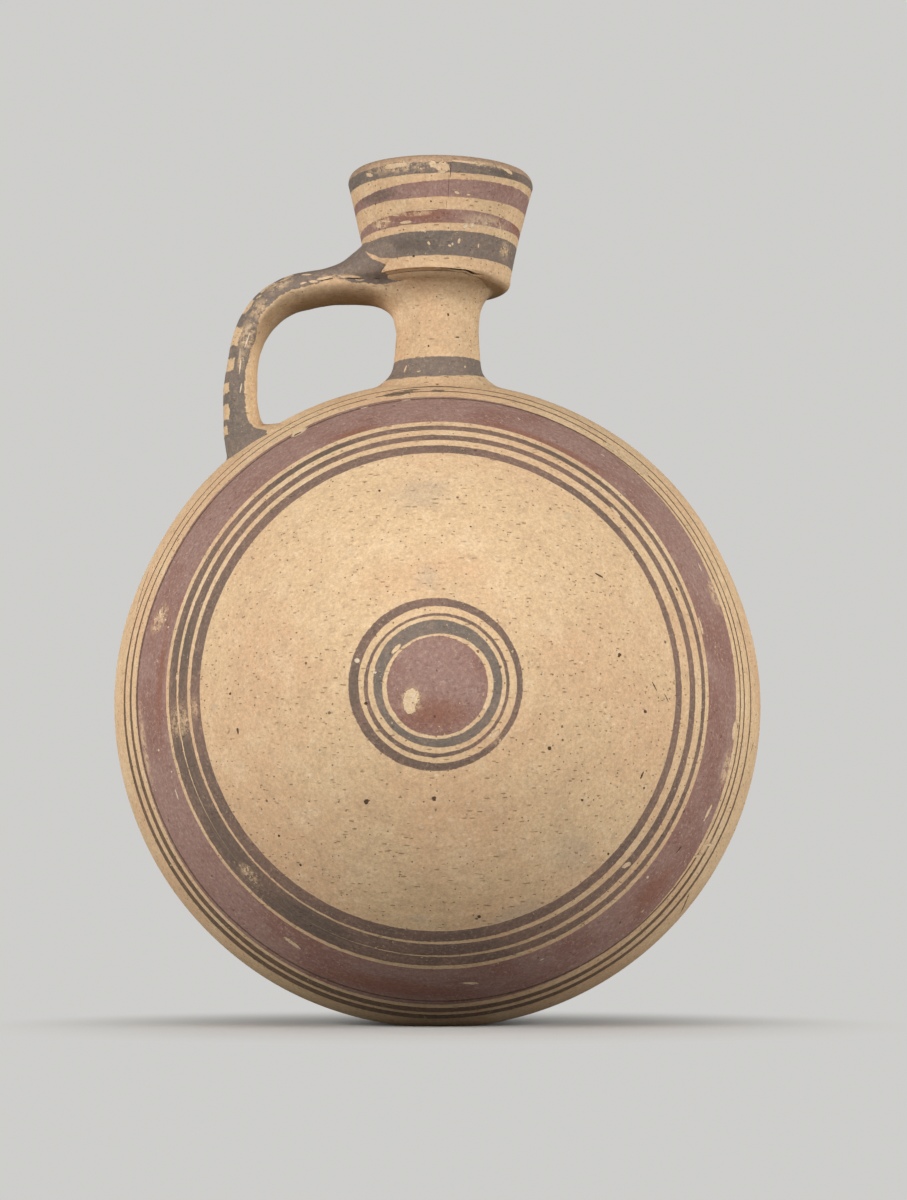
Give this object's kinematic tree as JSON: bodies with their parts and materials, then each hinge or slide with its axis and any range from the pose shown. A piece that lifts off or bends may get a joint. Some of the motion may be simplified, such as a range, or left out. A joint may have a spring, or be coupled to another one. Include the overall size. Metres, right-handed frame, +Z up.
{
  "type": "barrel-shaped jug",
  "caption": "Fired-clay jug with a barrel-shaped body lying on its side, a narrow neck, a ledged funnel mouth and a strap handle.",
  "frame": {"origin": "the middle of the bounding box's underside, under the middle of the barrel, on the plane that the jug rests on", "axes": "+Z up along the height; the barrel's axis along Y with its front end facing -Y; the handle on the -X side"},
  "size_m": [0.23, 0.2114, 0.3061],
  "materials": {
    "barrel_painted_clay": "matt buff fired clay with purple-brown and dusty red painted rings",
    "neck_painted_clay": "matt buff fired clay with a dark grey painted band at the foot",
    "mouth_painted_clay": "matt buff fired clay with dark grey and dusty red painted bands",
    "handle_painted_clay": "matt buff fired clay with worn dark grey paint and plain rungs"
  },
  "bodies": {
    "root": {"barrel_front_half": "barrel_painted_clay", "barrel_back_half": "barrel_painted_clay", "neck": "neck_painted_clay", "mouth": "mouth_painted_clay", "handle": "handle_painted_clay"}
  },
  "joints": []
}
